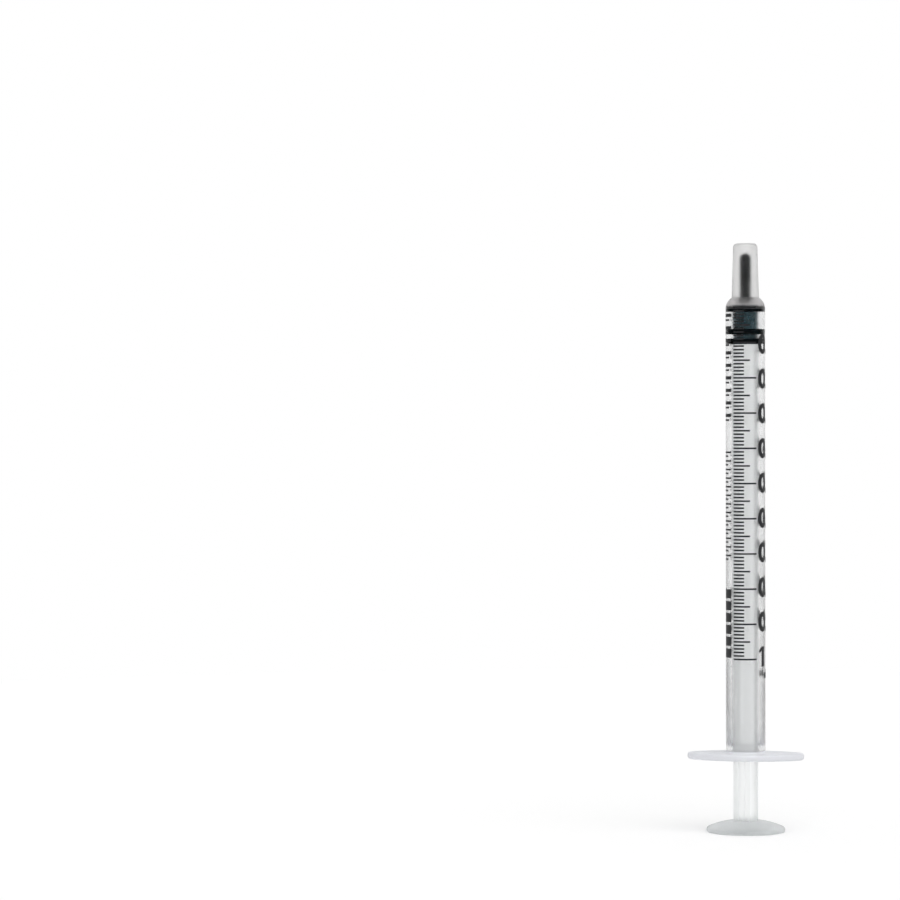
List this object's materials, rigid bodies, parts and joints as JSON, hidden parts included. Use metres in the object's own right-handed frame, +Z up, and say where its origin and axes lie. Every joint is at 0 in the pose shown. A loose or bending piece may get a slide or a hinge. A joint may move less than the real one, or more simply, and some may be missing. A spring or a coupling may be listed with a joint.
{
  "type": "tuberculin syringe",
  "caption": "Slip-tip tuberculin syringe: slim clear graduated barrel with an oval finger flange, ribbed plunger rod with a round thumb rest, and a black rubber stopper with a long nose.",
  "frame": {"origin": "middle of the thumb rest's outer face, which the syringe stands on", "axes": "+Z up the syringe's axis, from the thumb rest to the slip tip; X across the two wings of the finger flange; -Y is the side that shows the graduations"},
  "size_m": [0.0192, 0.0128, 0.0967],
  "materials": {
    "clear_plastic": "clear, slightly milky polypropylene, glossy",
    "natural_plastic": "translucent natural polypropylene, satin to glossy",
    "rubber": "black rubber, siliconed, low sheen",
    "ink": "printed black ink"
  },
  "bodies": {
    "plunger": {"plunger_rod": "natural_plastic", "stopper": "rubber"},
    "barrel": {"barrel": "clear_plastic", "scale_marks": "ink"}
  },
  "joints": [
    {"name": "plunger_slide", "type": "slide", "parent": "plunger", "child": "barrel", "axis": [0, 0, 1], "range_m": [0, 0.0635]}
  ]
}
